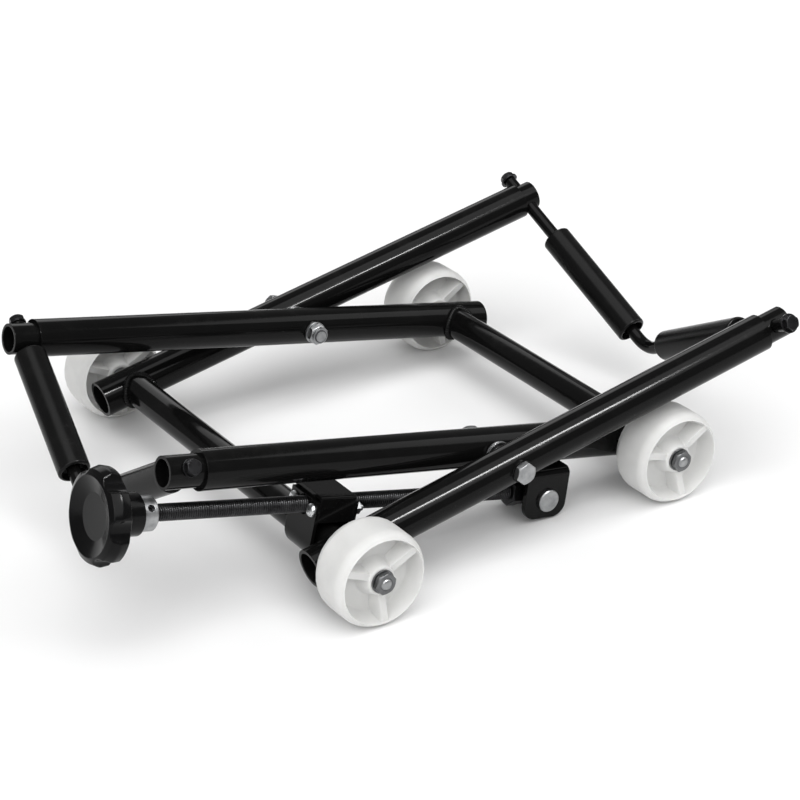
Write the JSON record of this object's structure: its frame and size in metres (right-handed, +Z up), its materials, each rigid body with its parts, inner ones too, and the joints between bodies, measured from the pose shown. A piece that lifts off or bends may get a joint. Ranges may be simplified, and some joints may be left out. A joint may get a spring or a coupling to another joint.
{
  "type": "wheel dolly",
  "caption": "Scissor-frame wheel dolly: a hand screw closes a pair of V-shaped roller cradles under a tyre to lift it, and plain wheels carry it along.",
  "frame": {"origin": "middle of the overall footprint, on the floor", "axes": "+X along the dolly, away from the hand knob; -Y is the side with the lead screw; +Z up"},
  "size_m": [0.6711, 0.4926, 0.1537],
  "materials": {
    "black_paint": "gloss black powder coat",
    "screw_steel": "black oxide, oiled thread",
    "dark_steel": "black oxide",
    "zinc_steel": "bright zinc plate",
    "white_nylon": "moulded white nylon",
    "black_plastic": "moulded, semi-gloss",
    "bush_nylon": "black nylon",
    "lock_nylon": "dark nylon ring"
  },
  "bodies": {
    "left_axles": {"axle_studs_left": "zinc_steel", "axle_nuts_left": "zinc_steel", "axle_spacers_left": "zinc_steel", "axle_washers_left": "zinc_steel"},
    "outer_frame": {"outer_arm_front": "black_paint", "outer_arm_rear": "black_paint", "outer_cross_tube": "black_paint", "outer_extension_front": "black_paint", "outer_extension_rear": "black_paint", "outer_pivot_bushes": "black_paint", "pivot_bolts": "zinc_steel", "pivot_washers": "zinc_steel", "pivot_lock_nuts": "zinc_steel", "pivot_nut_inserts": "lock_nylon", "pivot_spacer_washers": "zinc_steel", "right_cradle_rod": "black_paint", "right_cradle_bolts": "dark_steel", "right_cradle_washers": "dark_steel"},
    "inner_frame": {"inner_arm_front": "black_paint", "inner_arm_rear": "black_paint", "inner_cross_tube": "black_paint", "inner_extension_front": "black_paint", "inner_extension_rear": "black_paint", "inner_pivot_bushes": "black_paint", "left_cradle_rod": "black_paint", "left_cradle_bolts": "dark_steel", "left_cradle_washers": "dark_steel", "trunnion_bracket": "black_paint", "axle_studs_right": "zinc_steel", "axle_nuts_right": "zinc_steel", "axle_spacers_right": "zinc_steel", "axle_washers_right": "zinc_steel"},
    "trunnion": {"trunnion_pin": "zinc_steel"},
    "screw": {"lead_screw": "screw_steel", "thrust_spacers": "dark_steel", "thrust_nuts": "dark_steel", "hand_knob": "black_plastic", "shaft_collar": "zinc_steel", "collar_set_screw": "dark_steel"},
    "saddle": {"saddle_strap": "black_paint", "saddle_cap": "black_paint", "saddle_nut_block": "black_paint", "saddle_clamp_screws": "zinc_steel", "saddle_clamp_nuts": "zinc_steel"},
    "wheel_left_front": {"wheel_left_front": "white_nylon", "wheel_bush_left_front": "bush_nylon"},
    "roller_left_front": {"roller_left_front": "black_paint", "roller_bushes_left_front": "bush_nylon"},
    "wheel_left_rear": {"wheel_left_rear": "white_nylon", "wheel_bush_left_rear": "bush_nylon"},
    "roller_left_rear": {"roller_left_rear": "black_paint", "roller_bushes_left_rear": "bush_nylon"},
    "wheel_right_front": {"wheel_right_front": "white_nylon", "wheel_bush_right_front": "bush_nylon"},
    "roller_right_front": {"roller_right_front": "black_paint", "roller_bushes_right_front": "bush_nylon"},
    "wheel_right_rear": {"wheel_right_rear": "white_nylon", "wheel_bush_right_rear": "bush_nylon"},
    "roller_right_rear": {"roller_right_rear": "black_paint", "roller_bushes_right_rear": "bush_nylon"}
  },
  "joints": [
    {"name": "lift_hinge", "type": "hinge", "parent": "left_axles", "child": "outer_frame", "pos_m": [-0.12504, 0, 0.0415], "axis": [0, -1, 0], "range_deg": [0, 18.01]},
    {"name": "main_pivot", "type": "hinge", "parent": "outer_frame", "child": "inner_frame", "pos_m": [0.03665, 0, 0.0744], "axis": [0, -1, 0], "range_deg": [-36.01, 0]},
    {"name": "trunnion_hinge", "type": "hinge", "parent": "inner_frame", "child": "trunnion", "pos_m": [0.08582, -0.1457, 0.01954], "axis": [0, -1, 0], "range_deg": [0, 26.67]},
    {"name": "screw_spin", "type": "hinge", "parent": "trunnion", "child": "screw", "pos_m": [0.08582, -0.1457, 0.01954], "axis": [-0.9736, 0, 0.2284], "range_deg": [0, 6912]},
    {"name": "saddle_hinge", "type": "hinge", "parent": "outer_frame", "child": "saddle", "pos_m": [-0.12504, -0.1457, 0.0415], "axis": [0, -1, 0], "range_deg": [-9.36, 0]},
    {"name": "wheel_left_front_axle", "type": "hinge", "parent": "left_axles", "child": "wheel_left_front", "pos_m": [-0.12504, -0.2208, 0.0415], "axis": [0, 1, 0], "continuous": true},
    {"name": "wheel_left_rear_axle", "type": "hinge", "parent": "left_axles", "child": "wheel_left_rear", "pos_m": [-0.12504, 0.2208, 0.0415], "axis": [0, 1, 0], "continuous": true},
    {"name": "wheel_right_front_axle", "type": "hinge", "parent": "inner_frame", "child": "wheel_right_front", "pos_m": [0.19834, -0.1845, 0.0415], "axis": [0, 1, 0], "continuous": true},
    {"name": "wheel_right_rear_axle", "type": "hinge", "parent": "inner_frame", "child": "wheel_right_rear", "pos_m": [0.19834, 0.1845, 0.0415], "axis": [0, 1, 0], "continuous": true},
    {"name": "roller_right_front_spin", "type": "hinge", "parent": "outer_frame", "child": "roller_right_front", "pos_m": [0.31628, -0.08652, 0.08014], "axis": [-0.0742, -0.8829, 0.4637], "continuous": true},
    {"name": "roller_right_rear_spin", "type": "hinge", "parent": "outer_frame", "child": "roller_right_rear", "pos_m": [0.31706, 0.07725, 0.07527], "axis": [-0.0742, 0.8829, 0.4637], "continuous": true},
    {"name": "roller_left_front_spin", "type": "hinge", "parent": "inner_frame", "child": "roller_left_front", "pos_m": [-0.25591, -0.07794, 0.09018], "axis": [0.1005, -0.8445, 0.5261], "continuous": true},
    {"name": "roller_left_rear_spin", "type": "hinge", "parent": "inner_frame", "child": "roller_left_rear", "pos_m": [-0.25261, 0.07639, 0.09209], "axis": [0.1223, 0.8686, 0.4801], "continuous": true}
  ],
  "couplings": [
    {"joint": "lift_hinge", "follows": "screw_spin", "ratio": 0.0026042},
    {"joint": "main_pivot", "follows": "screw_spin", "ratio": -0.0052083},
    {"joint": "trunnion_hinge", "follows": "screw_spin", "ratio": 0.0038566},
    {"joint": "saddle_hinge", "follows": "screw_spin", "ratio": -0.0013517}
  ]
}
